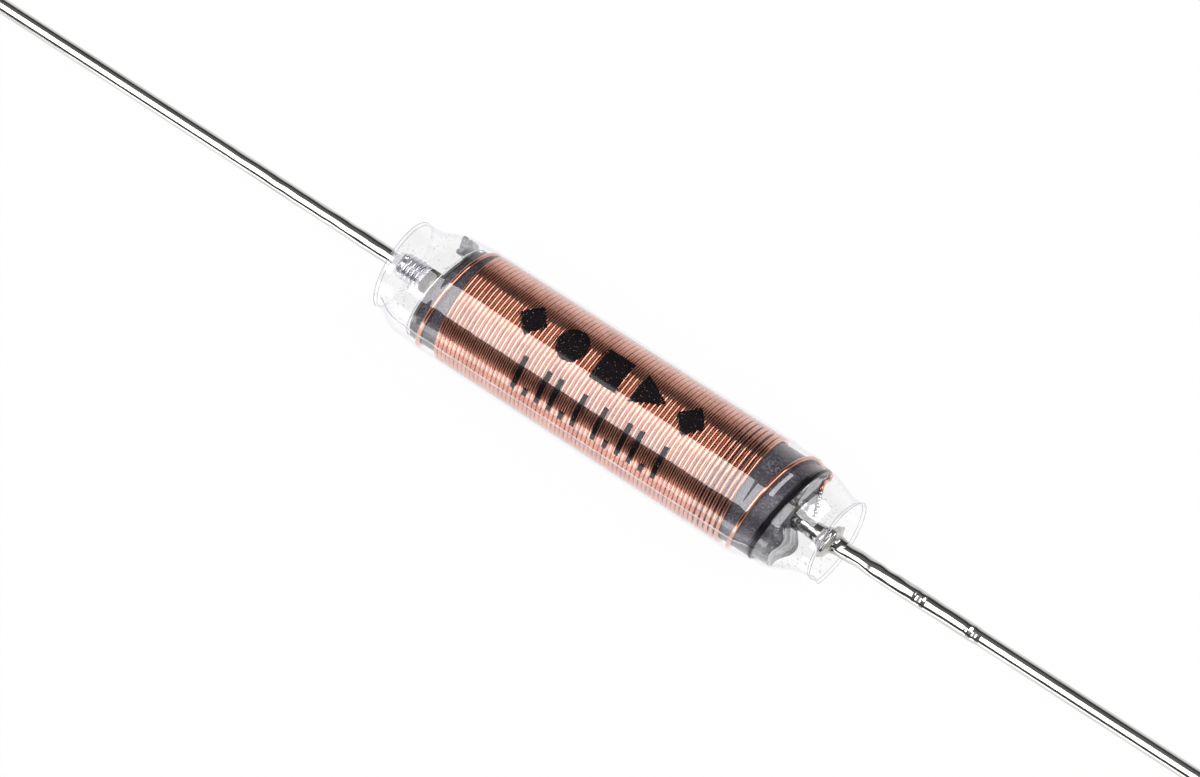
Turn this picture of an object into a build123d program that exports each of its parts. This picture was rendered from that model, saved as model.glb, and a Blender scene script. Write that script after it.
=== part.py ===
from build123d import *
from math import ceil, cos, radians, sin, tan
import os

os.makedirs("parts", exist_ok=True)

# An axial inductor. X runs along the leads, the origin is the middle of the ferrite rod on its axis,
# Y points to the side where the rod's right end is longest, and Z points up. Sizes are in millimetres.

# Ferrite rod, sawn slightly out of square at both ends
core_diameter = 5.5
core_length = 20.3
end_skew = 9.5
core_chamfer = 0.2
recess_diameter = 2.4
recess_depth = 0.8
socket_diameter = 1.4
socket_depth = 4.0

# Tinned lead with a thicker shank that is glued into the rod and a solder-dipped stretch next to it
lead_diameter = 0.8
lead_free_length = 38.0
dip_diameter = 0.86
dip_showing = 0.25
dip_taper = 0.7
shank_diameter = 1.3
shank_in_socket = 3.6
shank_showing_left = 1.3
shank_showing_right = 0.25
lead_tip_chamfer = 0.12

# Enamelled copper wire, wound in one layer with its last turns spread apart
wire_diameter = 0.243
spread_turns = 6
spread_pitch = 0.3
left_margin = 1.3
right_margin = 2.13
valley_film = 0.03
ridge_facets = 20
winding_clearance = 0.005

# Wire tails that lead from the winding over the rod's ends to the leads, turned in degrees from Z to -Y
tail_facets = 6
tail_step = 30
left_tail_from = -90
left_tail_sweep = 225
left_tail_bend = 15
left_tail_pitch = 2.1
right_tail_from = 180
right_tail_sweep = 240
right_tail_bend = 30
right_tail_pitch = 1.8
right_tail_drift = 0.55
right_tail_run = 0.5
tail_lift = 0.01
rim_gap = 0.04
wrap_turns = 5
wrap_pitch = 0.27
wrap_facets = 12
wrap_clearance = 0.005

# Solder on the leads
solder_film = 0.05
solder_cone_length = 0.45
solder_flange_diameter = 1.9
solder_flange_thickness = 0.3
solder_flange_inset = 0.3
solder_run_in = 0.5
solder_run_out = 0.7
solder_neck = 0.22
solder_clearance = 0.005

# Heat-shrunk clear sleeve, open at both ends
sleeve_wall = 0.14
sleeve_clearance = 0.02
shoulder_set_back = 0.2
left_shoulder_length = 2.3
right_shoulder_length = 2.1
left_neck_length = 0.14
right_neck_length = 0.34
left_neck_diameter = 4.76
right_neck_diameter = 4.66
shoulder_softness = 0.3
mouth_flare = 0.05

# Glue that pooled between the rod's slanting ends and the sleeve
glue_clearance = 0.01
left_glue_height = 1.5
left_glue_slope = 41.0
right_glue_height = 0.14
right_glue_slope = 17.0

# Places worked out from the sizes above
full_turn = 360
core_radius = core_diameter / 2
core_end = core_length / 2
lead_radius = lead_diameter / 2
dip_radius = dip_diameter / 2
shank_radius = shank_diameter / 2
wire_radius = wire_diameter / 2
end_slope = tan(radians(end_skew))
corner_reach = core_end + end_slope * core_radius
winding_bore = core_radius + winding_clearance
wire_line = winding_bore + wire_radius
tail_line = wire_line + tail_lift
winding_radius = winding_bore + wire_diameter
winding_start = left_margin - core_end
close_length = core_length - left_margin - right_margin - spread_turns * spread_pitch
close_turns = int(close_length / wire_diameter)
spread_start = winding_start + close_turns * wire_diameter
winding_end = spread_start + spread_turns * spread_pitch
shank_start = core_end - shank_in_socket
left_shank_end = core_end + shank_showing_left
right_shank_end = core_end + shank_showing_right
wrap_start = left_shank_end + wrap_clearance
wrap_end = wrap_start + wrap_turns * wrap_pitch
wrap_bore = dip_radius + wrap_clearance
wrap_line = wrap_bore + wire_radius
sleeve_bore = winding_radius + sleeve_clearance
shoulder_start = corner_reach - shoulder_set_back
left_foot = shoulder_start + left_shoulder_length
right_foot = shoulder_start + right_shoulder_length
left_mouth = left_foot + left_neck_length
right_mouth = right_foot + right_neck_length
solder_bore = dip_radius + solder_clearance
solder_skin = solder_bore + solder_film
left_solder_end = wrap_end + solder_cone_length
flange_out = right_mouth - solder_flange_inset
flange_in = flange_out - solder_flange_thickness
right_solder_end = flange_out + solder_run_out
dip_end = max(left_solder_end, right_solder_end) + dip_showing
lead_tip = max(left_mouth, right_mouth) + lead_free_length


def face_at(side, height):
    """The place along X of one slanting end of the rod, at a height along Y; side is -1 or 1."""
    return side * core_end + end_slope * height


def face_plane(side, gap):
    """The plane of one slanting end of the rod, moved out by a gap; its normal points outwards."""
    return Plane(origin=(side * (core_end + gap), 0, 0), x_dir=(0, 0, 1), z_dir=(side, -side * end_slope, 0))


def ring_point(x, radius, turn):
    """A point at a radius from the axis, turned by some degrees from Z towards -Y."""
    return Vector(x, -radius * sin(radians(turn)), radius * cos(radians(turn)))


# Ferrite core: the rod, with its slanting chamfered ends and a stepped socket in each
with BuildPart() as ferrite_core:
    Cylinder(core_radius, 2 * corner_reach, rotation=(0, 90, 0))
    for side in (-1, 1):
        split(bisect_by=face_plane(side, 0), keep=Keep.BOTTOM)
    end_rims = ferrite_core.edges().filter_by(GeomType.LINE, reverse=True)
    chamfer(end_rims, core_chamfer)
    for side in (-1, 1):
        with BuildSketch(Plane.YZ.offset(side * (core_end - recess_depth))):
            Circle(recess_diameter / 2)
        extrude(amount=side * (recess_depth + corner_reach), mode=Mode.SUBTRACT)
        with BuildSketch(Plane.YZ.offset(side * (core_end - socket_depth))):
            Circle(socket_diameter / 2)
        extrude(amount=side * socket_depth, mode=Mode.SUBTRACT)
ferrite_core.part.label = "ferrite_core"
export_step(ferrite_core.part, "parts/ferrite_core.step")


def turn_centres():
    """The places along X of the winding's turns, first the close ones and then the spread ones."""
    close = [winding_start + wire_diameter * (i + 0.5) for i in range(close_turns)]
    spread = [spread_start + spread_pitch * (i + 0.5) for i in range(spread_turns)]
    return close + spread


def turn_sections(start, centres, end, bore, facets, touching):
    """The place along X and the radius of each crest and valley of turns; the first few touch."""
    film = (bore + valley_film) / cos(radians(180 / facets))
    sections = [(start, film)]
    for i, centre in enumerate(centres):
        sections.append((centre, bore + wire_diameter))
        if i + 1 < len(centres):
            valley = bore + wire_radius if i + 1 < touching else film
            sections.append(((centre + centres[i + 1]) / 2, valley))
    return sections + [(end, film)]


def wrap_centres():
    """The places along X of the turns round the left lead."""
    return [-wrap_start - wrap_pitch * (i + 0.5) for i in range(wrap_turns)]


def round_rod(start, pitch, first_turn, sweep):
    """Points of a loose turn on the rod, from a place along X; a sweep is positive from Z to -Y."""
    steps = ceil(abs(sweep) / tail_step)
    advance = pitch * abs(sweep) / full_turn
    return [
        ring_point(start + advance * i / steps, tail_line, first_turn + sweep * i / steps)
        for i in range(steps + 1)
    ]


def left_tail():
    """From the first turn round the rod, over its left end at the back, and down to the wraps."""
    loose_turn = round_rod(winding_start + wire_radius, -left_tail_pitch, left_tail_from, left_tail_sweep)
    last_turn = left_tail_from + left_tail_sweep
    rim_turn = last_turn + left_tail_bend
    rim_x = face_at(-1, -core_radius * sin(radians(rim_turn)))
    clear_of_face = wire_radius + rim_gap
    over_rim = [
        ring_point((loose_turn[-1].X + rim_x) / 2, tail_line, last_turn + left_tail_bend / 2),
        ring_point(rim_x, tail_line - rim_gap, rim_turn),
        ring_point(rim_x - clear_of_face, core_radius - wire_radius, rim_turn),
    ]
    lead_turn = rim_turn + left_tail_bend / 2
    past_shank = ring_point(-wrap_start - wire_radius, shank_radius + wire_diameter, lead_turn)
    on_lead = ring_point(-wrap_start - wire_diameter, wrap_line, rim_turn + left_tail_bend)
    return loose_turn + over_rim + [past_shank, on_lead]


def right_tail():
    """One loose turn after the last one, then along the rod and over its right end to the lead."""
    loose_turn = round_rod(winding_end, right_tail_pitch, right_tail_from, -right_tail_sweep)
    last_turn = right_tail_from - right_tail_sweep
    turn_in = winding_end + right_tail_pitch * right_tail_sweep / full_turn
    rim_turn = last_turn - right_tail_bend
    along_rod = [
        ring_point(turn_in + right_tail_drift / 2, tail_line, last_turn - right_tail_bend * 2 / 3),
        ring_point(turn_in + right_tail_drift * 3 / 2, tail_line, rim_turn),
    ]
    rim_x = face_at(1, -core_radius * sin(radians(rim_turn)))
    clear_of_face = wire_radius + rim_gap
    over_rim = [
        ring_point(rim_x - core_chamfer / 2, tail_line - rim_gap, rim_turn),
        ring_point(rim_x + clear_of_face, core_radius - wire_radius, rim_turn),
        ring_point(face_at(1, core_radius / 2) + 2 * clear_of_face, core_radius / 2, rim_turn),
    ]
    on_lead = ring_point(rim_x + right_tail_run, wrap_line, rim_turn)
    return loose_turn + along_rod + over_rim + [on_lead]


# Winding: one wire, with its turns, its two tails and its wraps round the left lead
on_rod = turn_sections(winding_start, turn_centres(), winding_end, winding_bore, ridge_facets, close_turns)
on_left_lead = turn_sections(-wrap_start, wrap_centres(), -wrap_end, wrap_bore, wrap_facets, 0)
with BuildPart() as winding:
    for x, radius in on_rod:
        with BuildSketch(Plane.YZ.offset(x)):
            RegularPolygon(radius, ridge_facets)
    loft(ruled=True)
    Cylinder(winding_bore, 2 * core_end, rotation=(0, 90, 0), mode=Mode.SUBTRACT)
    for x, radius in on_left_lead:
        with BuildSketch(Plane.YZ.offset(x)):
            RegularPolygon(radius, wrap_facets)
    loft(ruled=True)
    Cylinder(wrap_bore, 2 * lead_tip, rotation=(0, 90, 0), mode=Mode.SUBTRACT)
    for points in (left_tail(), right_tail()):
        with BuildLine() as tail:
            Spline(*points)
        with BuildSketch(Plane(origin=tail.line @ 0, z_dir=tail.line % 0)):
            RegularPolygon(wire_radius, tail_facets)
        sweep(path=tail.line)
winding.part.label = "winding"
export_step(winding.part, "parts/winding.step")


def make_lead(side, shank_end):
    """A round lead: its shank, its solder-dipped stretch and the bare wire; side is -1 or 1."""
    with BuildPart() as lead:
        with BuildSketch():
            with BuildLine():
                Polyline(
                    (side * shank_start, 0),
                    (side * shank_start, shank_radius),
                    (side * shank_end, shank_radius),
                    (side * shank_end, dip_radius),
                    (side * dip_end, dip_radius),
                    (side * (dip_end + dip_taper), lead_radius),
                    (side * (lead_tip - lead_tip_chamfer), lead_radius),
                    (side * lead_tip, lead_radius - lead_tip_chamfer),
                    (side * lead_tip, 0),
                    close=True,
                )
            make_face()
        revolve(axis=Axis.X)
    return lead.part


# Leads: the same part at both ends, the left one less deep in its socket
lead_wire_left = make_lead(-1, left_shank_end)
lead_wire_left.label = "lead_wire_left"
export_step(lead_wire_left, "parts/lead_wire_left.step")

lead_wire_right = make_lead(1, right_shank_end)
lead_wire_right.label = "lead_wire_right"
export_step(lead_wire_right, "parts/lead_wire_right.step")

# Solder on the left lead: a short cone that ends the wraps
with BuildPart() as solder_joint_left:
    with BuildSketch():
        with BuildLine():
            Polyline(
                (-wrap_end - solder_clearance, solder_bore),
                (-wrap_end - solder_clearance, wrap_line),
                (-left_solder_end, solder_skin),
                (-left_solder_end, solder_bore),
                close=True,
            )
        make_face()
    revolve(axis=Axis.X)
solder_joint_left.part.label = "solder_joint_left"
export_step(solder_joint_left.part, "parts/solder_joint_left.step")

# Solder on the right lead: a flange in the sleeve's mouth that runs out along the lead as a trumpet
with BuildPart() as solder_joint_right:
    with BuildSketch():
        with BuildLine():
            run_in = (flange_in - solder_run_in, solder_skin)
            neck_in = (flange_in, solder_skin + solder_neck / 2)
            neck_out = (flange_out, solder_skin + solder_neck)
            run_out = (right_solder_end, solder_skin)
            Polyline(
                (run_in[0], solder_bore),
                run_in,
                neck_in,
                (flange_in, solder_flange_diameter / 2),
                (flange_out, solder_flange_diameter / 2),
                neck_out,
                ((neck_out[0] * 2 + run_out[0]) / 3, (neck_out[1] + run_out[1] * 2) / 3),
                run_out,
                (run_out[0], solder_bore),
                close=True,
            )
        make_face()
    revolve(axis=Axis.X)
solder_joint_right.part.label = "solder_joint_right"
export_step(solder_joint_right.part, "parts/solder_joint_right.step")


def shoulder(start, end):
    """The points of a shoulder of the sleeve, which leaves both of its ends almost along X."""
    soft_length = (end[0] - start[0]) * shoulder_softness
    soft_drop = (end[1] - start[1]) * shoulder_softness / 2
    after_start = (start[0] + soft_length, start[1] + soft_drop)
    before_end = (end[0] - soft_length, end[1] - soft_drop)
    return [start, after_start, before_end, end]


def sleeve_line(gap):
    """The line of the sleeve's bore from the left mouth to the right one, moved out by a gap."""
    left_neck = left_neck_diameter / 2 - sleeve_wall + gap
    right_neck = right_neck_diameter / 2 - sleeve_wall + gap
    left_brow = (-shoulder_start, sleeve_bore + gap)
    right_brow = (shoulder_start, sleeve_bore + gap)
    left_half = [(-left_mouth, left_neck + mouth_flare)] + shoulder((-left_foot, left_neck), left_brow)
    right_half = shoulder(right_brow, (right_foot, right_neck)) + [(right_mouth, right_neck + mouth_flare)]
    return left_half + right_half


# Insulating sleeve: tight on the winding, and drawn in past the rod's ends to an open neck
with BuildPart() as insulating_sleeve:
    with BuildSketch():
        with BuildLine():
            Polyline(*sleeve_line(0), *reversed(sleeve_line(sleeve_wall)), close=True)
        make_face()
    revolve(axis=Axis.X)
insulating_sleeve.part.label = "insulating_sleeve"
export_step(insulating_sleeve.part, "parts/insulating_sleeve.step")


# The room inside the sleeve, less the glue's clearance
with BuildPart() as sleeve_room:
    with BuildSketch():
        with BuildLine():
            Polyline((-left_mouth, 0), *sleeve_line(-glue_clearance), (right_mouth, 0), close=True)
        make_face()
    revolve(axis=Axis.X)


def glue_plane(side, height, slope):
    """The outer surface of the glue: it meets the rod's end at a height along Y."""
    lean = tan(radians(slope))
    return Plane(origin=(face_at(side, height), height, 0), x_dir=(0, 0, 1), z_dir=(side, side * lean, 0))


# Left glue: a wedge on the upper part of the rod's end
with BuildPart() as glue_left:
    add(sleeve_room.part)
    split(bisect_by=face_plane(-1, glue_clearance), keep=Keep.TOP)
    split(bisect_by=glue_plane(-1, left_glue_height, left_glue_slope), keep=Keep.BOTTOM)
glue_left.part.label = "glue_left"
export_step(glue_left.part, "parts/glue_left.step")

# Right glue: a wedge on the lower part of the rod's end, which also fills the recess round the shank
with BuildPart() as glue_right:
    add(sleeve_room.part)
    split(bisect_by=face_plane(1, glue_clearance), keep=Keep.TOP)
    with BuildSketch(Plane.YZ.offset(core_end - recess_depth + glue_clearance)):
        Circle(recess_diameter / 2 - glue_clearance)
    extrude(amount=recess_depth)
    split(bisect_by=glue_plane(1, right_glue_height, right_glue_slope), keep=Keep.BOTTOM)
    with BuildSketch(Plane.YZ):
        Circle(shank_radius + glue_clearance)
    extrude(amount=right_shank_end + glue_clearance, mode=Mode.SUBTRACT)
    with BuildSketch(Plane.YZ):
        Circle(dip_radius + glue_clearance)
    extrude(amount=right_mouth, mode=Mode.SUBTRACT)
glue_right.part.label = "glue_right"
export_step(glue_right.part, "parts/glue_right.step")
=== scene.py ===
import math

import bpy
import numpy as np
from mathutils import Matrix, Vector, noise


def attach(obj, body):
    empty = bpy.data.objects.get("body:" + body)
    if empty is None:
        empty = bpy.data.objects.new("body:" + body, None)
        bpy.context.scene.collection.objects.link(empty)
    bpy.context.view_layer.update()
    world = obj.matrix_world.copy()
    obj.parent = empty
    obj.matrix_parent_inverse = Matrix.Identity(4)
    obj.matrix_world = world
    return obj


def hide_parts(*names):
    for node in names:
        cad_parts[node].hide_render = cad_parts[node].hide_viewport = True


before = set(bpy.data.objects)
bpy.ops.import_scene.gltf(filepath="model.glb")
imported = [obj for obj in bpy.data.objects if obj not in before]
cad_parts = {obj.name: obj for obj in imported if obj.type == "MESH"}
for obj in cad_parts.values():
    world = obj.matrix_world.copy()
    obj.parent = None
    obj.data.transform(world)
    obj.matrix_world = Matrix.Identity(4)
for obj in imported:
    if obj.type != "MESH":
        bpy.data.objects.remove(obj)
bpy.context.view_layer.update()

MM = 0.001

# Sizes of the part, in millimetres
CORE_RADIUS = 2.75
CORE_END = 10.15
END_SLOPE = math.tan(math.radians(9.5))
WIRE_RADIUS = 0.1215
WIRE_LINE = CORE_RADIUS + 0.005 + WIRE_RADIUS
CLOSE_PITCH = 0.243
CLOSE_TURNS = 62
SPREAD_PITCH = 0.3
SPREAD_TURNS = 6
LEAD_RADIUS = 0.4
DIP_RADIUS = 0.43
SHANK_RADIUS = 0.65
LEAD_TIP = 50.85
SLEEVE_RADIUS = 3.1
SLEEVE_WALL = 0.08


def ring(x, radius, turn):
    """A point, in millimetres, turned by some degrees from Z towards -Y about the rod's axis."""
    a = math.radians(turn)
    return (x, -radius * math.sin(a), radius * math.cos(a))


def smooth(t):
    """The soft step from 0 to 1."""
    t = min(max(t, 0.0), 1.0)
    return t * t * (3 - 2 * t)


def add_mesh(name, verts, faces, material, shade=True):
    """Make a mesh piece from points in millimetres."""
    mesh = bpy.data.meshes.new(name)
    mesh.from_pydata([tuple(c * MM for c in v) for v in verts], [], faces)
    mesh.update()
    if shade:
        mesh.polygons.foreach_set("use_smooth", [True] * len(mesh.polygons))
    obj = bpy.data.objects.new(name, mesh)
    bpy.context.scene.collection.objects.link(obj)
    mesh.materials.append(material)
    return obj


def tube_faces(rows, sides):
    """Faces that join rings of points in turn, with a cap on each end."""
    faces = []
    for i in range(rows - 1):
        for k in range(sides):
            n = (k + 1) % sides
            faces.append((i * sides + k, i * sides + n, (i + 1) * sides + n, (i + 1) * sides + k))
    faces.append(tuple(reversed(range(sides))))
    faces.append(tuple(range((rows - 1) * sides, rows * sides)))
    return faces


def tube(path, radius_at, sides):
    """Points and faces of a round tube along a path, with capped ends."""
    points = [Vector(p) for p in path]
    verts = []
    normal = None
    for i, p in enumerate(points):
        ahead = points[min(i + 1, len(points) - 1)] - points[max(i - 1, 0)]
        ahead.normalize()
        if normal is None:
            normal = ahead.orthogonal()
        normal = (normal - ahead * normal.dot(ahead)).normalized()
        side = ahead.cross(normal)
        for k in range(sides):
            a = 2 * math.pi * k / sides
            verts.append(p + (normal * math.cos(a) + side * math.sin(a)) * radius_at(i, a))
    return verts, tube_faces(len(points), sides)


def lathe(name, xs, radius_at, sides, material):
    """A closed surface round the rod's axis; its radius may vary with the place along it and the turn."""
    verts = []
    for x in xs:
        for k in range(sides):
            turn = 360 * k / sides
            verts.append(ring(x, radius_at(x, turn), turn))
    faces = tube_faces(len(xs), sides)
    if xs[0] > xs[-1]:
        faces = [tuple(reversed(f)) for f in faces]
    return add_mesh(name, verts, faces, material)


def shell_faces(rows, around, turned=False):
    """Faces of two nested round surfaces, each of rows by around points, joined along both ends.

    If turned is set, the two surfaces face the other way.
    """
    faces = []
    for layer in (0, 1):
        base = layer * rows * around
        for i in range(rows - 1):
            for k in range(around):
                a, b = base + i * around + k, base + i * around + (k + 1) % around
                quad = (a, b, b + around, a + around)
                faces.append(quad if (layer == 1) != turned else tuple(reversed(quad)))
    for i in (0, rows - 1):
        for k in range(around):
            a, b = i * around + k, i * around + (k + 1) % around
            quad = (a, b, b + rows * around, a + rows * around)
            faces.append(quad if i == 0 else tuple(reversed(quad)))
    return faces


def lump(x, turn, seed, scale=1.0, around=1.0):
    """Smooth noise over a round surface, from about -1 to 1."""
    a = math.radians(turn)
    return noise.noise(Vector((x * scale + seed, math.cos(a) * around, math.sin(a) * around)))


# Materials


def new_material(name):
    """A new material, with its node tree and its Principled shader."""
    material = bpy.data.materials.new(name)
    material.use_nodes = True
    tree = material.node_tree
    return material, tree, tree.nodes["Principled BSDF"]


def add_node(tree, kind, **settings):
    """Add a node; settings name its inputs, or its own properties."""
    node = tree.nodes.new(kind)
    for key, value in settings.items():
        if hasattr(node, key):
            setattr(node, key, value)
        else:
            node.inputs[key.replace("_", " ")].default_value = value
    return node


def noise_node(tree, scale, detail=2.0, stretch=(1, 1, 1), rough=0.5):
    """Noise in the object's own space; scale is in waves per millimetre."""
    place = add_node(tree, "ShaderNodeTexCoord")
    mapping = add_node(tree, "ShaderNodeMapping")
    mapping.inputs["Scale"].default_value = [s / MM for s in stretch]
    tree.links.new(place.outputs["Object"], mapping.inputs["Vector"])
    node = add_node(tree, "ShaderNodeTexNoise", Scale=scale, Detail=detail, Roughness=rough)
    tree.links.new(mapping.outputs["Vector"], node.inputs["Vector"])
    return node.outputs["Fac"]


def ramp(tree, source, stops):
    """A colour ramp from (place, colour) stops."""
    node = add_node(tree, "ShaderNodeValToRGB")
    elements = node.color_ramp.elements
    while len(elements) < len(stops):
        elements.new(0.5)
    for element, (place, colour) in zip(elements, stops):
        element.position = place
        element.color = (*colour, 1)
    tree.links.new(source, node.inputs["Fac"])
    return node.outputs["Color"]


def grey(v):
    return (v, v, v)


def math_node(tree, operation, *values, clamp=False):
    """A Math node; each value is a socket to link or a number to set."""
    node = add_node(tree, "ShaderNodeMath", operation=operation, use_clamp=clamp)
    for socket, value in zip(node.inputs, values):
        if isinstance(value, bpy.types.NodeSocket):
            tree.links.new(value, socket)
        else:
            socket.default_value = value
    return node.outputs[0]


def stretch_range(tree, source, low, high, to_low=0.0, to_high=1.0):
    """Map low to high of a value onto another range."""
    node = add_node(tree, "ShaderNodeMapRange")
    for name, value in (("From Min", low), ("From Max", high), ("To Min", to_low), ("To Max", to_high)):
        node.inputs[name].default_value = value
    tree.links.new(source, node.inputs["Value"])
    return node.outputs[0]


def mix_colour(tree, factor, first, second):
    """Mix two colours; each is a socket to link or a colour to set."""
    node = add_node(tree, "ShaderNodeMix", data_type="RGBA")
    tree.links.new(factor, node.inputs["Factor"])
    for socket, colour in ((node.inputs[6], first), (node.inputs[7], second)):
        if isinstance(colour, bpy.types.NodeSocket):
            tree.links.new(colour, socket)
        else:
            socket.default_value = (*colour, 1)
    return node.outputs[2]


def split_place(tree, output="Object"):
    """The outputs X, Y and Z of a place in the object's own space, or of a direction."""
    place = add_node(tree, "ShaderNodeTexCoord")
    split = add_node(tree, "ShaderNodeSeparateXYZ")
    tree.links.new(place.outputs[output], split.inputs["Vector"])
    return split.outputs


def add_bump(tree, shader, height, strength, distance):
    """Put a bump on a shader; distance is in millimetres."""
    bump = add_node(tree, "ShaderNodeBump", Strength=strength, Distance=distance * MM)
    tree.links.new(height, bump.inputs["Height"])
    tree.links.new(bump.outputs["Normal"], shader.inputs["Normal"])


def copper_material():
    """Copper wire under clear enamel, with slow changes of its tone."""
    material, tree, shader = new_material("enamelled_copper")
    colour = ramp(
        tree,
        noise_node(tree, 1.3, 3),
        [(0.3, (0.62, 0.24, 0.15)), (0.52, (0.75, 0.34, 0.225)), (0.75, (0.82, 0.42, 0.3))],
    )
    tree.links.new(colour, shader.inputs["Base Color"])
    shader.inputs["Metallic"].default_value = 1
    tree.links.new(
        ramp(tree, noise_node(tree, 2.1, 2), [(0.3, grey(0.1)), (0.7, grey(0.17))]), shader.inputs["Roughness"]
    )
    shader.inputs["Coat Weight"].default_value = 0.7
    shader.inputs["Coat Roughness"].default_value = 0.06
    shader.inputs["Coat IOR"].default_value = 1.5
    return material


def tin_material(name, tone, roughness, bump, waves=1.7):
    """Tin or solder, a little uneven in tone and polish; bump is in millimetres, waves in waves per millimetre."""
    material, tree, shader = new_material(name)
    colour = ramp(
        tree,
        noise_node(tree, 1.1, 4, (0.35, 1, 1)),
        [(0.3, tuple(c * 0.8 for c in tone)), (0.6, tone)],
    )
    tree.links.new(colour, shader.inputs["Base Color"])
    shader.inputs["Metallic"].default_value = 1
    dulling = [(0.3, grey(roughness * 0.7)), (0.7, grey(roughness * 1.5))]
    tree.links.new(ramp(tree, noise_node(tree, 2.6, 3, (0.4, 1, 1)), dulling), shader.inputs["Roughness"])
    add_bump(tree, shader, noise_node(tree, waves, 4, (0.3, 1, 1), 0.6), 0.6, bump)
    return material


def speckled_material():
    """Solder, near black in its pits and pale on its tops."""
    material, tree, shader = new_material("dark_pitted_solder")
    pits = noise_node(tree, 7.0, 3, rough=0.7)
    colour = ramp(tree, pits, [(0.42, (0.02, 0.02, 0.022)), (0.56, (0.2, 0.2, 0.2)), (0.64, (0.7, 0.7, 0.7))])
    tree.links.new(colour, shader.inputs["Base Color"])
    shader.inputs["Metallic"].default_value = 0.8
    shader.inputs["Roughness"].default_value = 0.25
    add_bump(tree, shader, pits, 0.8, 0.08)
    return material


def shank_material():
    """Tin over brass-coloured wire, with ridges round it."""
    material, tree, shader = new_material("shank_tin")
    bands = noise_node(tree, 1.6, 2, (2.2, 0.25, 0.25), 0.6)
    colour = ramp(
        tree, bands, [(0.36, (0.05, 0.045, 0.035)), (0.5, (0.13, 0.115, 0.085)), (0.62, (0.26, 0.235, 0.19))]
    )
    tree.links.new(colour, shader.inputs["Base Color"])
    shader.inputs["Metallic"].default_value = 0.5
    shader.inputs["Roughness"].default_value = 0.5
    add_bump(tree, shader, bands, 0.6, 0.06)
    return material


def ferrite_material():
    """Dark ceramic with a fine grain, and pale flecks in patches that are partly painted sheen; near each end a black
    band is painted shade on the rim.
    """
    material, tree, shader = new_material("ferrite")
    specks = ramp(
        tree,
        noise_node(tree, 11.0, 2, rough=0.8),
        [(0.36, (0.03, 0.026, 0.034)), (0.56, (0.06, 0.053, 0.066)), (0.68, (0.2, 0.19, 0.22))],
    )
    # Pale lavender flecks in patches: partly the grain's own tone, partly a painted sheen.
    grain = ramp(tree, noise_node(tree, 7.5, 2, rough=0.8), [(0.5, grey(0.0)), (0.64, grey(1.0))])
    patches = ramp(tree, noise_node(tree, 0.75, 1), [(0.46, grey(0.0)), (0.62, grey(0.55))])
    grain_and_sheen = mix_colour(tree, math_node(tree, "MULTIPLY", grain, patches), specks, (0.3, 0.3, 0.36))
    # Painted shade: a near-black band a little in from each slanting end of the rod.
    place = add_node(tree, "ShaderNodeTexCoord")
    dot = add_node(tree, "ShaderNodeVectorMath", operation="DOT_PRODUCT")
    dot.inputs[1].default_value = (1 / MM, -END_SLOPE / MM, 0)
    tree.links.new(place.outputs["Object"], dot.inputs[0])
    reach = math_node(tree, "ABSOLUTE", dot.outputs["Value"])
    rim = stretch_range(tree, reach, CORE_END - 0.3, CORE_END - 0.22)
    face = stretch_range(tree, reach, CORE_END - 0.03, CORE_END - 0.01)
    rim_shade_band = math_node(tree, "SUBTRACT", rim, face, clamp=True)
    tree.links.new(mix_colour(tree, rim_shade_band, grain_and_sheen, (0.008, 0.006, 0.008)), shader.inputs["Base Color"])
    tree.links.new(
        ramp(tree, noise_node(tree, 5.0, 3), [(0.3, grey(0.26)), (0.7, grey(0.4))]), shader.inputs["Roughness"]
    )
    shader.inputs["Specular Tint"].default_value = (0.9, 0.86, 1.0, 1)
    shader.inputs["Coat Weight"].default_value = 0.25
    shader.inputs["Coat Roughness"].default_value = 0.12
    add_bump(tree, shader, noise_node(tree, 7.0, 3, rough=0.75), 1.0, 0.035)
    return material


def glue_material(name, tones):
    """Smoky resin, cloudy with small bubbles."""
    material, tree, shader = new_material(name)
    colour = ramp(tree, noise_node(tree, 1.6, 4, rough=0.6), [(0.34, tones[0]), (0.5, tones[1]), (0.68, tones[2])])
    bubbles = ramp(tree, noise_node(tree, 6.0, 2, rough=0.7), [(0.66, grey(0.0)), (0.72, grey(0.8))])
    tree.links.new(mix_colour(tree, bubbles, colour, (0.62, 0.62, 0.66)), shader.inputs["Base Color"])
    shader.inputs["Roughness"].default_value = 0.12
    shader.inputs["Coat Weight"].default_value = 0.4
    add_bump(tree, shader, noise_node(tree, 2.6, 3), 0.5, 0.09)
    return material


def line_material(name, colour, roughness=0.25):
    """A fine line of painted light or shade: painted shade at a clear wall's edge and on a rim, and painted
    highlights.
    """
    material, tree, shader = new_material(name)
    paler = tuple(min(1, c * 1.5) for c in colour)
    tree.links.new(ramp(tree, noise_node(tree, 1.2, 2), [(0.35, colour), (0.65, paler)]), shader.inputs["Base Color"])
    shader.inputs["Roughness"].default_value = roughness
    shader.inputs["Specular IOR Level"].default_value = 0.5 if roughness < 0.5 else 0.1
    return material


def ink_material():
    """Glossy black ink with fine pinholes, through which the copper shows."""
    material, tree, shader = new_material("ink")
    pinholes = noise_node(tree, 16.0, 1)
    colour = ramp(
        tree, pinholes, [(0.0, (0.005, 0.004, 0.005)), (0.7, (0.007, 0.005, 0.007)), (0.76, (0.4, 0.25, 0.2))]
    )
    tree.links.new(colour, shader.inputs["Base Color"])
    shader.inputs["Roughness"].default_value = 0.12
    shader.inputs["Specular IOR Level"].default_value = 0.35
    return material


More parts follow.
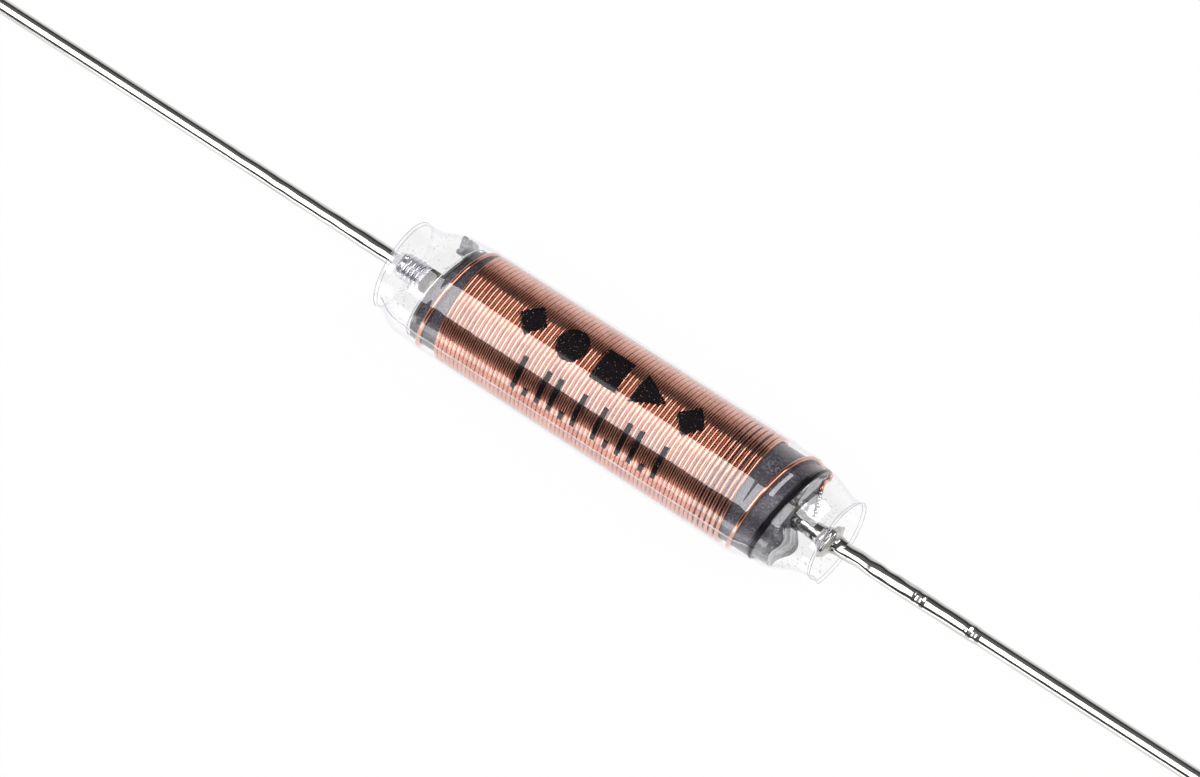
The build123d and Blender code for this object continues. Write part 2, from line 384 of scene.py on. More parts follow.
def sleeve_material():
    """A thin clear wall: it mirrors by its angle, and lets the rest straight through."""
    material, tree, shader = new_material("clear_sleeve")
    tree.nodes.remove(shader)
    weight = add_node(tree, "ShaderNodeLayerWeight")
    weight.inputs["Blend"].default_value = 0.5
    facing = weight.outputs["Facing"]
    place = split_place(tree)
    schlick = math_node(tree, "MULTIPLY_ADD", math_node(tree, "POWER", facing, 4.0), 0.6, 0.05)
    under = stretch_range(tree, place["Z"], -1.6 * MM, -0.6 * MM, 0.2)
    mirror = math_node(tree, "MULTIPLY", schlick, under)
    # The wall lets less through towards its grazing edges, down to a lavender grey: painted shade in place of
    # refraction.
    tint = ramp(tree, facing, [(0.6, grey(0.995)), (0.93, grey(0.96)), (1.0, (0.76, 0.74, 0.79))])
    ends = stretch_range(tree, math_node(tree, "ABSOLUTE", place["X"]), 10.6 * MM, 11.2 * MM)
    drops = ramp(tree, noise_node(tree, 5.5, 1), [(0.66, grey(0.0)), (0.72, grey(0.5))])
    patchy = ramp(tree, noise_node(tree, 0.9, 1), [(0.45, grey(0.0)), (0.6, grey(1.0))])
    spots = math_node(tree, "MULTIPLY", math_node(tree, "MULTIPLY", ends, drops), patchy)
    clear = add_node(tree, "ShaderNodeBsdfTransparent")
    tree.links.new(mix_colour(tree, spots, tint, (0.42, 0.4, 0.43)), clear.inputs["Color"])
    gloss = add_node(tree, "ShaderNodeBsdfGlossy")
    gloss.inputs["Roughness"].default_value = 0.02
    gloss.inputs["Color"].default_value = (0.98, 0.965, 1.0, 1)
    bump = add_node(tree, "ShaderNodeBump", Strength=0.35, Distance=0.04 * MM)
    tree.links.new(noise_node(tree, 0.9, 3, (0.6, 1, 1)), bump.inputs["Height"])
    tree.links.new(bump.outputs["Normal"], gloss.inputs["Normal"])
    mix = add_node(tree, "ShaderNodeMixShader")
    tree.links.new(mirror, mix.inputs["Fac"])
    tree.links.new(clear.outputs[0], mix.inputs[1])
    tree.links.new(gloss.outputs[0], mix.inputs[2])
    tree.links.new(mix.outputs[0], tree.nodes["Material Output"].inputs["Surface"])
    return material


# Where the floor is mirrored, it is brighter towards -Y: places along Y, in millimetres, and shares of MIRROR_PEAK
MIRROR_PEAK = 1.3
MIRROR_SPAN = 30
MIRROR_SHARES = [(-15, 1.0), (-6, 0.78), (4, 0.73), (8, 0.7), (13, 0.6), (27, 0.32)]
FLOOR_GLOW_SHARE = 0.97


def floor_material():
    """White where it is seen, lit and shaded where it throws light, and uneven where it is mirrored."""
    material, tree, shader = new_material("floor_white")
    shader.inputs["Base Color"].default_value = (0.82, 0.82, 0.82, 1)
    shader.inputs["Roughness"].default_value = 0.9
    shader.inputs["Specular IOR Level"].default_value = 0.0
    glow = add_node(tree, "ShaderNodeEmission")
    glow.inputs["Color"].default_value = (1, 1, 1, 1)
    path = add_node(tree, "ShaderNodeLightPath").outputs
    reach = stretch_range(tree, split_place(tree)["Y"], -MIRROR_SPAN * MM, MIRROR_SPAN * MM)
    stops = [((y + MIRROR_SPAN) / (2 * MIRROR_SPAN), grey(value)) for y, value in MIRROR_SHARES]
    mirrored = add_node(tree, "ShaderNodeMix", data_type="FLOAT")
    tree.links.new(path["Is Glossy Ray"], mirrored.inputs[0])
    mirrored.inputs[2].default_value = 1
    tree.links.new(math_node(tree, "MULTIPLY", ramp(tree, reach, stops), MIRROR_PEAK), mirrored.inputs[3])
    tree.links.new(mirrored.outputs[0], glow.inputs["Strength"])
    seen = math_node(tree, "MAXIMUM", path["Is Camera Ray"], path["Is Glossy Ray"])
    seen = math_node(tree, "MAXIMUM", seen, path["Is Transmission Ray"])
    mix = add_node(tree, "ShaderNodeMixShader")
    tree.links.new(math_node(tree, "MULTIPLY", seen, FLOOR_GLOW_SHARE), mix.inputs["Fac"])
    tree.links.new(shader.outputs[0], mix.inputs[1])
    tree.links.new(glow.outputs[0], mix.inputs[2])
    tree.links.new(mix.outputs[0], tree.nodes["Material Output"].inputs["Surface"])
    return material


COPPER = copper_material()
TIN = tin_material("tinned_lead", (0.72, 0.71, 0.69), 0.11, 0.012)
SOLDER = tin_material("solder", (0.86, 0.85, 0.9), 0.3, 0.04, 3.0)
BRIGHT = tin_material("bright_solder", (0.76, 0.75, 0.75), 0.1, 0.02, 2.6)
ROUGH = tin_material("flange_solder", (0.56, 0.55, 0.53), 0.07, 0.1, 2.6)
DARK_PITTED = speckled_material()
SHANK = shank_material()
FERRITE = ferrite_material()
GLUE = glue_material("glue", ((0.03, 0.028, 0.032), (0.1, 0.096, 0.11), (0.24, 0.235, 0.26)))
PALE_GLUE = glue_material("pale_glue", ((0.3, 0.3, 0.32), (0.4, 0.4, 0.42), (0.48, 0.48, 0.5)))
# A black line of painted shade on the rod's rim.
RIM_SHADE = line_material("painted_rim_shade", (0.004, 0.003, 0.004), 0.6)
# Grey lines: painted shade at the edges of the clear wall.
EDGE_SHADE = line_material("painted_edge_shade", (0.42, 0.38, 0.44))
# Pale lines: painted highlights.
HIGHLIGHT_LINE = line_material("painted_highlight_line", (0.8, 0.77, 0.83))
INK = ink_material()
CLEAR = sleeve_material()
FLOOR = floor_material()

CAD_MATERIALS = {
    "ferrite_core": FERRITE,
    "winding": COPPER,
    "lead_wire_left": TIN,
    "lead_wire_right": TIN,
    "solder_joint_left": SOLDER,
    "solder_joint_right": SOLDER,
    "insulating_sleeve": CLEAR,
    "glue_left": GLUE,
    "glue_right": GLUE,
}
for node, material in CAD_MATERIALS.items():
    for material_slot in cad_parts[node].material_slots:
        material_slot.material = material


def settle(obj, node):
    """A piece that rides on the body; given a CAD node, it stands for it and hides it."""
    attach(obj, "root")
    if node:
        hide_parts(node)
    return obj


# Leads: each with a thicker shank, a solder-dipped stretch with a few lumps, and marks from the tools

# Each mark: its place along X, the turn it faces, its width along the lead and its height
LEAD_MARKS = [
    (-22.9, 20, 0.5, 0.03), (-20.6, -30, 0.4, -0.035), (-17.7, 40, 0.4, 0.03), (-16.4, 0, 0.5, -0.02),
    (-19.3, 60, 0.6, 0.02), (14.6, 10, 0.4, 0.025), (15.4, -30, 0.5, -0.025), (17.2, 5, 0.4, 0.03),
    (17.5, -10, 0.14, -0.05), (17.75, 20, 0.14, 0.05), (18.0, -15, 0.14, -0.04), (20.35, 15, 0.16, 0.06),
    (20.62, -10, 0.14, -0.06), (20.85, 20, 0.12, 0.04), (16.2, 50, 0.4, 0.02),
]
# Where the dip begins to thin out, and over what length
LEFT_DIP_FADE = (13.5, 5)
RIGHT_DIP_FADE = (20.6, 0.5)
TIP_CHAMFER = 0.12


def lead_radius_at(x, turn):
    """The radius of a lead, with its dip, its lumps and its tool marks."""
    far = abs(x)
    lumpy = 0.06 if x > 0 else 0.025
    fade_start, fade_length = RIGHT_DIP_FADE if x > 0 else LEFT_DIP_FADE
    dip = 1 - smooth((far - fade_start) / fade_length)
    radius = LEAD_RADIUS + (DIP_RADIUS - LEAD_RADIUS) * dip
    radius += lump(x, turn, 3.0, 1.3, 0.8) * lumpy * (1 - smooth((far - 14) / 8))
    for place, toward, width, depth in LEAD_MARKS:
        if abs(x - place) < 3 * width:
            apart = math.radians(turn - toward)
            radius += depth * math.exp(-(((x - place) / width) ** 2)) * max(0.0, math.cos(apart)) ** 2
    return radius - max(0.0, far - LEAD_TIP + TIP_CHAMFER)


def shank_radius_at(x, turn):
    """The radius of a shank, with faint ridges round it."""
    return SHANK_RADIUS + 0.012 * math.sin(x * 21) + 0.01 * lump(x, turn, 9.0, 2, 1)


SHANK_LENGTH_IN_ROD = 3.6
SHANK_OVERLAP = 0.02
MARKED_REACH = 24

for side, name, shank_showing in ((-1, "left", 1.3), (1, "right", 0.25)):
    shank_end = CORE_END + shank_showing
    fine = np.arange(shank_end - SHANK_OVERLAP, MARKED_REACH, 0.07)
    plain = np.arange(MARKED_REACH, LEAD_TIP - 0.2, 0.8)
    steps = np.concatenate((fine, plain, [LEAD_TIP - TIP_CHAMFER, LEAD_TIP]))
    lead = lathe(f"lead_{name}", [side * float(s) for s in steps], lead_radius_at, 64, TIN)
    settle(lead, f"lead_wire_{name}")
    steps = np.linspace(CORE_END - SHANK_LENGTH_IN_ROD, shank_end, 60)
    shank = lathe(f"shank_{name}", [side * float(s) for s in steps], shank_radius_at, 40, SHANK)
    settle(shank, None)


# Winding: one wire from the wraps on the left lead to the right lead

WRAP_X, WRAP_TURNS, WRAP_PITCH, WRAP_LINE = -12.72, 5, 0.255, DIP_RADIUS + WIRE_RADIUS + 0.01
FIRST_TURN = -180.0
CLOSE_END_TURN = FIRST_TURN - 360 * CLOSE_TURNS
SPREAD_END_TURN = CLOSE_END_TURN - 360 * SPREAD_TURNS
WINDING_X = -8.76
SPREAD_X = WINDING_X + CLOSE_TURNS * CLOSE_PITCH
TAIL_X = SPREAD_X + SPREAD_TURNS * SPREAD_PITCH
LEFT_KNOTS = [(135, -10.28), (90, -9.95), (0, -9.4), (-90, -8.92)]
RIGHT_KNOTS = [(-90, 8.52), (-180, 9.0), (-240, 9.5), (-286, 10.1)]
TURN_KNOTS = (
    LEFT_KNOTS
    + [(FIRST_TURN, WINDING_X), (CLOSE_END_TURN, SPREAD_X), (SPREAD_END_TURN, TAIL_X)]
    + [(SPREAD_END_TURN + turn, x) for turn, x in RIGHT_KNOTS]
)
STEP_TURN = 6
SMOOTHED_STEPS = 5


def turns_path():
    """The wire's middle line on the rod, from left to right."""
    turns = [k[0] for k in TURN_KNOTS]
    xs = [k[1] for k in TURN_KNOTS]
    count = int((turns[0] - turns[-1]) / STEP_TURN)
    samples = [turns[0] + (turns[-1] - turns[0]) * i / count for i in range(count + 1)]
    along = np.interp([-t for t in samples], [-t for t in turns], xs)
    width, kept = 2 * SMOOTHED_STEPS + 1, SMOOTHED_STEPS + 1
    soft = np.convolve(np.pad(along, SMOOTHED_STEPS, mode="edge"), np.ones(width) / width, mode="valid")
    soft[:kept], soft[-kept:] = along[:kept], along[-kept:]
    path = []
    for t, x in zip(samples, soft):
        loose = 1.0 if x > SPREAD_X or x < WINDING_X else 0.25
        wobble = noise.noise(Vector((t / 400.0, 0.3, 0))) * 0.05 * loose
        path.append(ring(x + wobble, WIRE_LINE, t))
    return path


def resample(path, step):
    """Smooth a path with a Catmull-Rom curve at about equal steps."""
    points = [Vector(p) for p in path]
    out = []
    for i in range(len(points) - 1):
        a, b = points[max(i - 1, 0)], points[i]
        c, d = points[i + 1], points[min(i + 2, len(points) - 1)]
        count = max(1, int((c - b).length / step))
        for k in range(count):
            t = k / count
            out.append(
                0.5 * ((2 * b) + (c - a) * t + (2 * a - 5 * b + 4 * c - d) * t * t + (3 * b - a - 3 * c + d) * t**3)
            )
    out.append(points[-1])
    return out


def wire_piece(name, path, step, radius_at, material, node, sides):
    """A round wire along a path."""
    verts, faces = tube(resample(path, step), radius_at, sides)
    return settle(add_mesh(name, verts, faces, material), node)


WRAP_STEPS = 24
wraps = [
    ring(WRAP_X + WRAP_PITCH * i / WRAP_STEPS, WRAP_LINE, 330 - 360 * i / WRAP_STEPS)
    for i in range(WRAP_TURNS * WRAP_STEPS + 1)
]
wraps.append(ring(-11.38, WRAP_LINE + 0.16, 305))
left_over = [
    ring(x, r, turn)
    for x, r, turn in ((-11.05, 1.2, 155), (-10.62, 2.2, 150), (-10.5, 2.72, 145), (-10.4, WIRE_LINE, 140))
]
wire_piece("tinned_wraps", wraps, 0.08, lambda i, a: WIRE_RADIUS + 0.02, SOLDER, None, 12)
RIM_TURN = TURN_KNOTS[-1][0] - 2
right_over = [
    ring(x, r, RIM_TURN)
    for x, r in ((10.3, WIRE_LINE), (10.5, WIRE_LINE), (10.64, 2.82), (10.7, 2.7), (10.71, 2.45))
]
right_over += [(10.74, 2.2, 0.0), (10.8, 1.95, 0.25), (10.88, 1.76, 0.32)]
tail = [(-11.38, -0.1, -0.6), *left_over, *turns_path(), *right_over]
wire_piece("winding_wire", tail, 0.25, lambda i, a: WIRE_RADIUS * 0.985, COPPER, "winding", 14)
tinned = [(10.89, 1.74, 0.32), (11.0, 1.45, 0.3), (11.14, 1.1, 0.26), (11.26, 0.7, 0.25), (11.3, 0.5, 0.25)]
wire_piece("tinned_tail", tinned, 0.05, lambda i, a: 0.13 + 0.03 * math.sin(i * 1.1), BRIGHT, None, 10)


# Solder on the left lead: it fills the wraps and tapers off along the lead


def wrap_solder_radius(x, turn):
    end = smooth((x + 13.35) / 0.6)
    radius = DIP_RADIUS + (0.2 - 0.08 * smooth((x + 12.3) / 0.8)) * end
    return radius + (0.05 * lump(x, turn, 21.0, 2.6, 1.6) + 0.03 * lump(x, turn, 4.0, 7.0, 3.0)) * end


fill = lathe("wrap_solder", [float(x) for x in np.linspace(-13.4, -11.5, 70)], wrap_solder_radius, 64, SOLDER)
settle(fill, "solder_joint_left")


# Solder on the right lead: an irregular flange in the sleeve's mouth, a dark root and a bright web

# Place along X and radius
FLANGE_PROFILE = [
    (11.35, 0.44), (11.7, 0.47), (12.0, 0.52), (12.12, 0.62), (12.24, 0.66), (12.32, 0.76), (12.38, 0.9),
    (12.44, 0.95), (12.52, 0.93), (12.6, 0.96), (12.68, 0.88), (12.72, 0.68), (12.78, 0.56), (12.9, 0.5),
    (13.1, 0.46), (13.3, 0.44),
]


def flange_radius(x, turn):
    shifted = x + 0.07 * math.sin(math.radians(turn)) + 0.05 * lump(0, turn, 2.0, 1, 1.4)
    radius = float(np.interp(shifted, [p[0] for p in FLANGE_PROFILE], [p[1] for p in FLANGE_PROFILE]))
    rough = smooth((x - 12.1) / 0.2) * (1 - smooth((x - 12.75) / 0.3))
    radius *= 1 + 0.24 * rough * lump(x, turn, 31.0, 1.4, 1.5)
    return radius + (0.012 + 0.09 * rough) * lump(x, turn, 5.0, 3, 2.4)


flange = lathe("solder_flange", [float(x) for x in np.linspace(11.35, 13.35, 130)], flange_radius, 80, ROUGH)
settle(flange, "solder_joint_right")


def root_radius(x, turn):
    radius = 0.5 + 0.06 * lump(x, turn, 12.0, 4.0, 2.5) + 0.04 * lump(x, turn, 40.0, 9.0, 5.0)
    return radius - 0.08 * smooth((x - 10.75) / 0.2)


root = lathe("dark_root", [float(x) for x in np.linspace(10.12, 10.95, 40)], root_radius, 64, DARK_PITTED)
settle(root, None)


def web_mesh():
    """A thin curved web of solder between the tail, the rod's end and the lead."""
    top, root, foot = Vector((10.72, 1.95, 0.42)), Vector((10.3, 0.62, 0.24)), Vector((11.3, 0.5, 0.22))
    n = 14
    verts, faces, rows = [], [], {}
    for layer, drop in ((0, 0.0), (1, -0.1)):
        for i in range(n + 1):
            for k in range(n + 1 - i):
                u, v = i / n, k / n
                w = 1 - u - v
                p = top * w + root * u + foot * v
                dish = -0.06 * u * v - 0.12 * u * w
                p = p + Vector((0, 0, drop + dish + 0.012 * noise.noise(p * 4)))
                rows[layer, i, k] = len(verts)
                verts.append(p)
        for i in range(n):
            for k in range(n - i):
                a, b, c = rows[layer, i, k], rows[layer, i + 1, k], rows[layer, i, k + 1]
                faces.append((a, b, c) if layer else (a, c, b))
                if k < n - i - 1:
                    d = rows[layer, i + 1, k + 1]
                    faces.append((b, d, c) if layer else (b, c, d))
    return verts, faces


verts, faces = web_mesh()
settle(add_mesh("solder_web", verts, faces, BRIGHT), None)
bead = [(11.62, -0.28, 0.32), (11.7, -0.34, 0.3), (11.78, -0.36, 0.26)]
wire_piece("solder_bead", bead, 0.03, lambda i, a: 0.09, DARK_PITTED, None, 12)


# Clear sleeve

# Place along X and radius
SLEEVE_PROFILE = [
    (-12.95, 2.42), (-12.6, 2.4), (-12.3, 2.42), (-11.95, 2.56), (-11.5, 2.78), (-11.0, 2.96), (-10.5, 3.0),
    (-10.0, 3.06), (-9.3, SLEEVE_RADIUS), (8.9, SLEEVE_RADIUS), (9.3, 3.06), (9.7, 2.98), (10.2, 2.88),
    (10.6, 2.82), (10.9, 2.74), (11.4, 2.56), (11.9, 2.41), (12.3, 2.35), (12.6, 2.35), (13.2, 2.4),
]
FOLD_TURN = 54
MOUTH_REACH = 12.87


def sleeve_radius(x):
    """The radius of the sleeve's skin, before its folds and waves."""
    return float(np.interp(x, [p[0] for p in SLEEVE_PROFILE], [p[1] for p in SLEEVE_PROFILE]))


def tail_place(side, turn):
    """Where a loose tail passes under the sleeve at a turn, which is from -180 to 180."""
    if side < 0:
        knots = [(-180, -8.8), (-90, -8.92), (0, -9.4), (90, -9.95), (180, -10.6)]
    else:
        knots = [(-180, 10.4), (-90, 9.85), (0, 9.0), (90, 8.52), (180, 8.1)]
    return float(np.interp(turn, [k[0] for k in knots], [k[1] for k in knots]))


def sleeve_point(x, turn, inset):
    """A point on the sleeve's skin, or inside it by an inset, with its skewed shoulders and wavy mouths."""
    turn = (turn + 180) % 360 - 180
    side = 1 if x > 0 else -1
    skew = -END_SLOPE * CORE_RADIUS * math.sin(math.radians(turn))
    shifted = x - skew * 0.8 * smooth((abs(x) - 8.5) / 1.5) * (1 - smooth((abs(x) - 11.6) / 1.2))
    radius = sleeve_radius(shifted)
    loose = smooth((abs(x) - 8.4) / 0.4) * (1 - smooth((abs(shifted) - 10.2) / 0.6))
    on_tail = math.exp(-(((x - tail_place(side, turn)) / 0.3) ** 2))
    radius -= (0.075 if side > 0 else 0.03) * loose * (1 - on_tail)
    if side > 0 and turn > -115:
        radius = max(radius, radius + (3.06 - radius) * on_tail)
    far = smooth((abs(x) - 10.2) / 2.6)
    wave = lump(x, turn, 1.0 if side > 0 else 5.0, 0.35, 1.3)
    radius += wave * 0.14 * far
    fold = math.exp(-(((turn - 88) / 26) ** 2)) - 0.16 * math.exp(-(((turn - 62) / 13) ** 2))
    radius -= (0.5 if side > 0 else 0.0) * fold * smooth((x - 10.9) / 1.8)
    radius += 0.035 * math.exp(-(((turn - FOLD_TURN) / 1.1) ** 2)) * (1 - smooth((x - 9.5) / 2.5))
    return ring(x, radius - inset, turn)


def mouth_x(side, turn):
    """Where the sleeve ends at a turn: its right mouth is cut a little slanting."""
    turn = (turn + 180) % 360 - 180
    slant = 0.0
    if side > 0:
        slant = -0.22 * math.cos(math.radians(turn)) + 0.08 * math.exp(-(((turn - 92) / 30) ** 2))
    return side * (MOUTH_REACH + slant + 0.05 * lump(0, turn, 8.0 * side, 1, 1.2))


FOLD_STEPS = (-2.2, -1.5, -0.9, -0.4, 0.4, 0.9, 1.5, 2.2)
TURNS = sorted({3.0 * k for k in range(120)} | {FOLD_TURN + step for step in FOLD_STEPS})


def sleeve_mesh():
    """Both skins of the sleeve's wall, joined at the mouths."""
    shares = list(np.linspace(-1, -0.66, 56)) + list(np.linspace(-0.6, 0.6, 9)) + list(np.linspace(0.66, 1, 56))
    verts = []
    for inset in (0.0, SLEEVE_WALL):
        for share in shares:
            for turn in TURNS:
                verts.append(sleeve_point(abs(share) * mouth_x(-1 if share < 0 else 1, turn), turn, inset))
    return verts, shell_faces(len(shares), len(TURNS))


verts, faces = sleeve_mesh()
settle(add_mesh("shrunk_sleeve", verts, faces, CLEAR), "insulating_sleeve")


def line_loop(name, points, radius_at, material):
    """A fine line along points."""
    verts, faces = tube(points, lambda i, a: radius_at(i), 6)
    return settle(add_mesh(name, verts, faces, material), None)


# Grey lines round both skins of each mouth: painted shade at the clear wall's cut edges.
for side, name in ((-1, "left"), (1, "right")):
    for label, back, inset in (("outer", 0.0, 0.0), ("inner", 0.15, SLEEVE_WALL)):
        ring_turns = TURNS + TURNS[:2]
        points = [sleeve_point(mouth_x(side, t) - side * back, t, inset) for t in ring_turns]
        behind = [(1 - math.cos(math.radians(t))) / 2 for t in ring_turns]
        thin = 0.013 if side < 0 else 0.005
        line_loop(f"mouth_{name}_{label}", points, lambda i: 0.015 - thin * behind[i], EDGE_SHADE)
# Along the sleeve's crease: a grey line of painted shade, and next to it a pale line of painted highlight.
fold_xs = [float(x) for x in np.linspace(-12.45, 9.6, 140)]
line_loop("fold_shade_line", [sleeve_point(x, FOLD_TURN, -0.005) for x in fold_xs], lambda i: 0.017, EDGE_SHADE)
line_loop("fold_highlight_line", [sleeve_point(x, FOLD_TURN - 0.9, -0.002) for x in fold_xs], lambda i: 0.015, HIGHLIGHT_LINE)


# Glue: a small lump on the left end's edge towards +Y, and a smoky pool on the right end's half towards -Y


def rim_line(side, radius, out):
    """Points round a slanting end of the rod, one every 3 degrees."""
    points = []
    for k in range(120):
        p = ring(0, radius, 3 * k)
        points.append((side * (CORE_END + out) + END_SLOPE * p[1], p[1], p[2]))
    return points


# A pale line round the left end's rim: a painted highlight.
left_rim = rim_line(-1, 2.72, 0.02)
verts, faces = tube(left_rim + left_rim[:2], lambda i, a: 0.035, 6)
settle(add_mesh("painted_highlight_left", verts, faces, HIGHLIGHT_LINE), None)

# On the right end a black line of painted shade runs over the rim's top, from turn -108 to 123, and thins out at both
# ends
top_rim = (rim_line(1, 2.71, 0.0) * 2)[84:162]
verts, faces = tube(top_rim, lambda i, a: 0.12 * math.sin(math.pi * (i + 2) / (len(top_rim) + 3)) ** 0.5, 10)
settle(add_mesh("painted_rim_shade_right", verts, faces, RIM_SHADE), None)


def lump_mesh(centre, size, seed, rough):
    """A closed smooth lump: a ball, squeezed and dented."""
    verts, faces = [], []
    rows, around = 24, 36
    for i in range(rows + 1):
        p = math.pi * i / rows
        for k in range(around):
            a = 2 * math.pi * k / around
            d = Vector((math.sin(p) * math.cos(a), math.sin(p) * math.sin(a), math.cos(p)))
            r = 1 + rough * noise.noise(d * 1.7 + Vector((seed, 0, 0)))
            verts.append(tuple(c + s * e * r for c, s, e in zip(centre, size, d)))
    for i in range(rows):
        for k in range(around):
            n = (k + 1) % around
            faces.append((i * around + k, (i + 1) * around + k, (i + 1) * around + n, i * around + n))
    return verts, faces


verts, faces = lump_mesh((-10.25, 2.35, 0.55), (0.5, 0.5, 1.0), 3.0, 0.5)
settle(add_mesh("glue_lump_left", verts, faces, PALE_GLUE), "glue_left")


POOL_ROWS = 26
POOL_INNER, POOL_OUTER = 0.5, 2.62


def pool_top(x, y, z, radius):
    """The place along X of the pool's surface over a point of the rod's end."""
    depth = 0.07 - 0.477 * y
    depth += 0.42 * math.exp(-(((y + 1.1) / 0.55) ** 2)) - 0.34 * smooth((-1.5 - y) / 0.9)
    depth = 0.16 * math.log1p(math.exp(depth / 0.16)) * smooth((0.7 - y) / 0.9)
    at_wall = 0.25 * smooth((radius - 2.0) / 0.6) * smooth(-y / 1.5)
    at_lead = 0.2 * smooth((0.9 - radius) / 0.4) * smooth((0.9 - y) / 1.2)
    waves = 0.08 * noise.noise(Vector((0, y, z)) * 1.1) * smooth(-y)
    return x + 0.01 + (depth * 0.85 + (at_wall + at_lead) * 0.6) + waves


def pool_mesh():
    """The pool on the right end: it rises to the sleeve's wall and to the lead, and thins out towards +Y."""
    verts = []
    for on_top in (False, True):
        for i in range(POOL_ROWS + 1):
            radius = POOL_INNER + (POOL_OUTER - POOL_INNER) * i / POOL_ROWS
            for turn in range(0, 360, 3):
                _, y, z = ring(0, radius, turn)
                face = CORE_END + END_SLOPE * y
                top = pool_top(face, y, z, radius)
                reach = sleeve_radius(top) - 0.12
                scale = min(radius, reach) / radius if radius > POOL_INNER else 1
                verts.append((top if on_top else face + 0.005, y * scale, z * scale))
    return verts, shell_faces(POOL_ROWS + 1, 120, turned=True)


verts, faces = pool_mesh()
settle(add_mesh("glue_pool_right", verts, faces, GLUE), "glue_right")


# Print: five bold shapes, and beside them, towards -Y, a row of thin dashes and dots

PRINT_RADIUS = SLEEVE_RADIUS + 0.008


def print_patch(name, x0, x1, turn0, turn1, inside):
    """Ink on the sleeve, over the cells of a box whose place across it passes a test."""
    rows, columns = 48, 40
    verts, faces, index = [], [], {}

    def corner(i, k):
        if (i, k) not in index:
            x = x0 + (x1 - x0) * i / columns
            turn = turn0 + (turn1 - turn0) * k / rows
            index[i, k] = len(verts)
            verts.append(ring(x, PRINT_RADIUS, turn))
        return index[i, k]

    for i in range(columns):
        for k in range(rows):
            u, v = (i + 0.5) / columns * 2 - 1, (k + 0.5) / rows * 2 - 1
            ragged = 0.05 * noise.noise(Vector((u * 9 + x0 * 7, v * 9, 0)))
            if inside(u + ragged, v + ragged):
                faces.append((corner(i, k), corner(i, k + 1), corner(i + 1, k + 1), corner(i + 1, k)))
    return settle(add_mesh(name, verts, faces, INK), None)


def diamond(u, v):
    return abs(u) + abs(v) < 0.95


def disc(u, v):
    return u * u + v * v < 0.92


def wedge(u, v):
    return abs(u) < 0.95 and abs(v) < 0.5 - 0.46 * u


def bar(u, v):
    return max(abs(u), abs(v)) < 0.96


def dot(u, v):
    return abs(u) < 0.96 and v > 0.5


BOLD_START, BOLD_PITCH, BOLD_WIDTH, BOLD_TURNS = -5.7, 2.3, 1.6, (-41, -5.5)
THIN_PLACES = (-4.3, -3.6, -2.9, -2.2, -1.5, -0.8, 0.4, 1.1, 1.8, 2.5, 3.2, 3.9)
THIN_WIDTH, THIN_TURNS = 0.27, (8, 44)
for i, shape in enumerate((diamond, disc, bar, wedge, diamond)):
    left = BOLD_START + i * BOLD_PITCH
    print_patch(f"print_bold_{i + 1}", left, left + BOLD_WIDTH, *BOLD_TURNS, shape)
for i, left in enumerate(THIN_PLACES):
    print_patch(f"print_thin_{i + 1}", left, left + THIN_WIDTH, *THIN_TURNS, dot if i % 3 == 1 else bar)


# Stage: camera, floor, world and lamps

AIM = Vector((-0.93, 0, 0)) * MM
DISTANCE = 175 * MM
TILT = math.radians(13.9)
ROLL = math.radians(-32.86)
IMAGE_WIDTH, FOCAL_PX, DROP_PX = 1200, 3608, 3.5
BACK = Vector((math.sin(TILT), 0, math.cos(TILT)))

along = (Vector((1, 0, 0)) - BACK * BACK.x).normalized()
across = BACK.cross(along)
right = along * math.cos(ROLL) - across * math.sin(ROLL)
up = along * math.sin(ROLL) + across * math.cos(ROLL)
camera_data = bpy.data.cameras.new("camera")
camera_data.sensor_width = 36
camera_data.lens = camera_data.sensor_width * FOCAL_PX / IMAGE_WIDTH
camera_data.clip_start, camera_data.clip_end = 0.005, 20
camera = bpy.data.objects.new("camera", camera_data)
bpy.context.scene.collection.objects.link(camera)
stand = AIM + up * (DROP_PX * DISTANCE / FOCAL_PX) + BACK * DISTANCE
camera.matrix_world = Matrix.Translation(stand) @ Matrix((right, up, BACK)).transposed().to_4x4()
bpy.context.scene.camera = camera

FLOOR_Z = -3.17
FLOOR_HALF = 4000
floor_corners = [(x * FLOOR_HALF, y * FLOOR_HALF, FLOOR_Z) for x, y in ((-1, -1), (1, -1), (1, 1), (-1, 1))]
floor = add_mesh("floor", floor_corners, [(0, 1, 2, 3)], FLOOR, False)


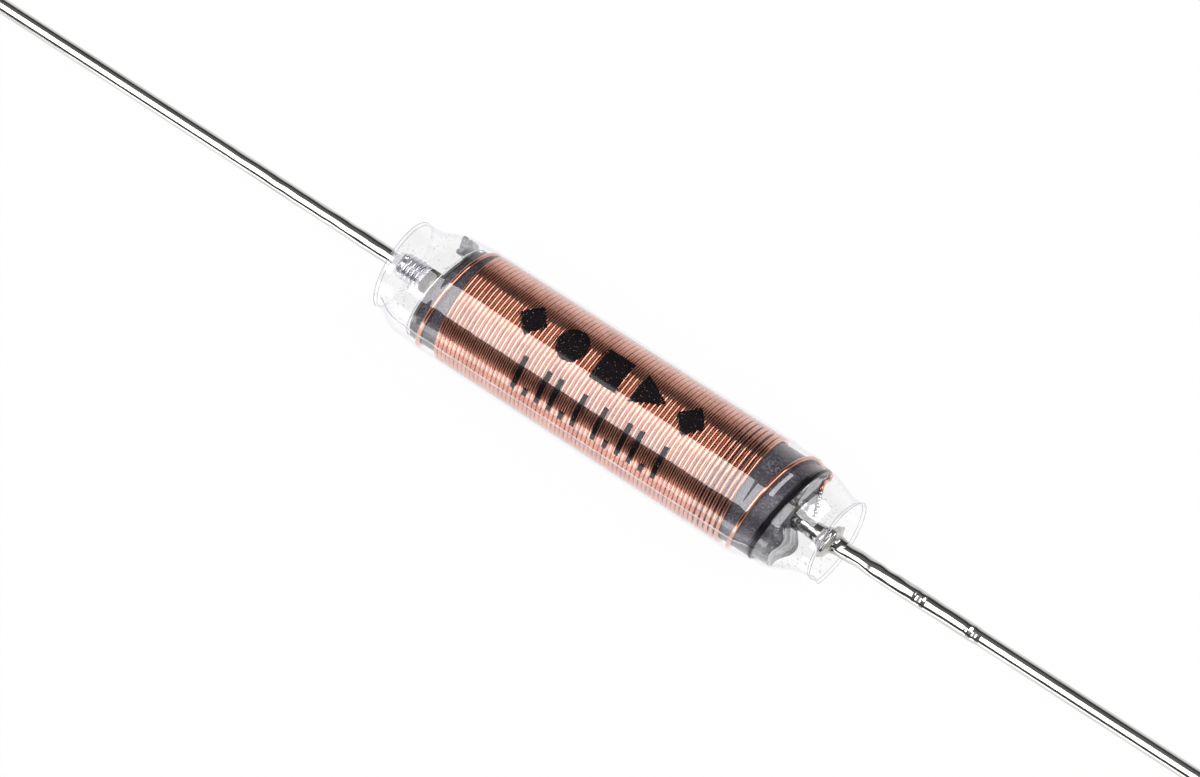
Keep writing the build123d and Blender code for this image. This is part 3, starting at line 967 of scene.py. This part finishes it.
def softbox(name, tilt_x, tilt_y, distance, size_x, size_y, radiance):
    """A lamp in a direction given by its tilts from Z, in degrees towards X and towards -Y; sizes are in metres."""
    lamp = bpy.data.lights.new(name, "AREA")
    lamp.shape = "RECTANGLE"
    lamp.size, lamp.size_y = size_x, size_y
    lamp.energy = math.pi * size_x * size_y * radiance
    obj = bpy.data.objects.new(name, lamp)
    bpy.context.scene.collection.objects.link(obj)
    z = Vector((math.tan(math.radians(tilt_x)), -math.tan(math.radians(tilt_y)), 1)).normalized()
    x = (Vector((1, 0, 0)) - z * z.x).normalized()
    obj.matrix_world = Matrix.Translation(z * distance) @ Matrix((x, z.cross(x), z)).transposed().to_4x4()
    obj.visible_camera = False


softbox("key", -13.9, 9, 0.5, 0.36, 0.51, 3.4)
softbox("side", 44, -35, 0.5, 0.22, 0.5, 4.2)
softbox("low", -58, 82, 0.5, 0.26, 0.12, 2.4)

world = bpy.data.worlds.new("studio")
bpy.context.scene.world = world
world.use_nodes = True
tree = world.node_tree
direction = split_place(tree, "Generated")
front = math_node(tree, "MULTIPLY", direction["Y"], -1)
angle = math_node(tree, "ARCTAN2", front, direction["Z"])
share = stretch_range(tree, angle, -math.pi / 2, math.pi / 2)
# The sky's brightness by its angle, in degrees from Z towards -Y
SKY = [
    (-90, 0.16), (-86, 0.05), (-66, 0.05), (-56, 0.15), (42, 0.15), (48, 0.045), (62, 0.045), (72, 0.28), (84, 0.45),
    (90, 1.0),
]
around = ramp(tree, share, [((degrees + 90) / 180, grey(value)) for degrees, value in SKY])
cards = ramp(tree, math_node(tree, "ABSOLUTE", direction["X"]), [(0.6, grey(0.0)), (0.7, grey(0.5))])
sky = add_node(tree, "ShaderNodeMix", data_type="RGBA", blend_type="LIGHTEN")
sky.inputs["Factor"].default_value = 1
tree.links.new(around, sky.inputs[6])
tree.links.new(cards, sky.inputs[7])
tree.links.new(sky.outputs[2], tree.nodes["Background"].inputs["Color"])

bpy.context.scene.view_settings.view_transform = "Standard"
